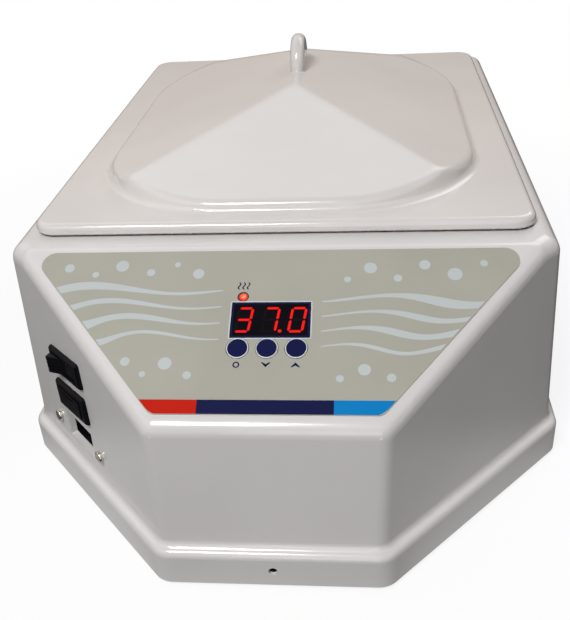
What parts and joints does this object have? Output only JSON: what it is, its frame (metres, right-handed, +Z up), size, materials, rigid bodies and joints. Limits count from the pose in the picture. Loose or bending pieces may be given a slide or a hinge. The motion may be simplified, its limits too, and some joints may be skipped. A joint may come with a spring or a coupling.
{
  "type": "plasma thawing water bath",
  "caption": "Bench-top heated water bath with sloping control panel, stainless tank and loose domed lid, for thawing bagged plasma.",
  "frame": {"origin": "middle of the footprint, on the bench under the feet", "axes": "+X right and +Y back as seen from the operator, +Z up"},
  "size_m": [0.302, 0.46, 0.1938],
  "materials": {
    "moulded_shell": "pale warm grey gel coat, softly glossy",
    "moulded_lid": "pale warm grey gel coat, softly glossy",
    "galvanised_sheet": "zinc-plated sheet",
    "black_screw": "black oxide steel",
    "foot_rubber": "matt black rubber",
    "zinc_screw": "bright zinc plate",
    "stainless_pan": "satin stainless",
    "dark_rubber": "matt black",
    "foam_jacket": "closed-cell foam",
    "heater_tube": "heat-tinted stainless",
    "brass_gland": "turned brass",
    "black_plastic": "fine matt black",
    "black_rocker": "satin black",
    "printed_film": "printed polyester film, satin",
    "smoked_lens": "smoked acrylic",
    "display_block": "dark potted block",
    "circuit_board": "green solder mask",
    "amber_lamp": "diffused orange-red resin",
    "key_cap": "satin navy",
    "tinned_contact": "tin or nickel plate",
    "fuse_glass": "clear glass",
    "relay_case": "blue case",
    "terminal_green": "green moulded block"
  },
  "bodies": {
    "housing": {"housing_shell": "moulded_shell", "base_plate": "galvanised_sheet", "base_screws": "black_screw", "feet": "foot_rubber", "foot_screws": "zinc_screw", "foot_nuts": "zinc_screw", "tank": "stainless_pan", "tank_gasket": "dark_rubber", "tank_insulation": "foam_jacket", "heater": "heater_tube", "heater_glands": "brass_gland", "temperature_probe": "stainless_pan", "probe_gland": "brass_gland", "safety_thermostat": "black_plastic", "tank_shelf": "stainless_pan", "panel_overlay": "printed_film", "display_window": "smoked_lens", "display_module": "display_block", "display_board": "circuit_board", "board_standoffs": "brass_gland", "board_screws": "zinc_screw", "tact_switches": "black_plastic", "heating_lamp": "amber_lamp", "power_switch": "black_plastic", "switch_blades": "tinned_contact", "fuse_holder": "black_plastic", "mains_inlet": "black_plastic", "inlet_pins": "tinned_contact", "inlet_screws": "zinc_screw", "inlet_nuts": "zinc_screw", "power_board": "circuit_board", "power_board_posts": "brass_gland", "power_board_screws": "zinc_screw", "transformer": "black_plastic", "relay": "relay_case", "terminal_block": "terminal_green", "earth_stud": "brass_gland"},
    "lid": {"lid": "moulded_lid"},
    "rocker": {"power_rocker": "black_rocker"},
    "drawer": {"fuse_drawer": "black_plastic", "fuse": "fuse_glass", "fuse_caps": "tinned_contact"},
    "key_left": {"key_left": "key_cap"},
    "key_middle": {"key_middle": "key_cap"},
    "key_right": {"key_right": "key_cap"}
  },
  "joints": [
    {"name": "lid_lift", "type": "slide", "parent": "housing", "child": "lid", "axis": [0, 0, 1], "range_m": [0, 0.22]},
    {"name": "rocker_swing", "type": "hinge", "parent": "housing", "child": "rocker", "pos_m": [-0.10636, -0.16304, 0.08527], "axis": [0.0467, -0.0756, -0.996], "range_deg": [0, 26]},
    {"name": "drawer_slide", "type": "slide", "parent": "housing", "child": "drawer", "axis": [-0.7314, -0.6817, 0.0175], "range_m": [0, 0.02]},
    {"name": "key_left_press", "type": "slide", "parent": "housing", "child": "key_left", "axis": [0, 0.4664, -0.8846], "range_m": [0, 0.0005], "stiffness_N_per_m": 600, "springref_m": -0.0004},
    {"name": "key_middle_press", "type": "slide", "parent": "housing", "child": "key_middle", "axis": [0, 0.4664, -0.8846], "range_m": [0, 0.0005], "stiffness_N_per_m": 600, "springref_m": -0.0004},
    {"name": "key_right_press", "type": "slide", "parent": "housing", "child": "key_right", "axis": [0, 0.4664, -0.8846], "range_m": [0, 0.0005], "stiffness_N_per_m": 600, "springref_m": -0.0004}
  ]
}
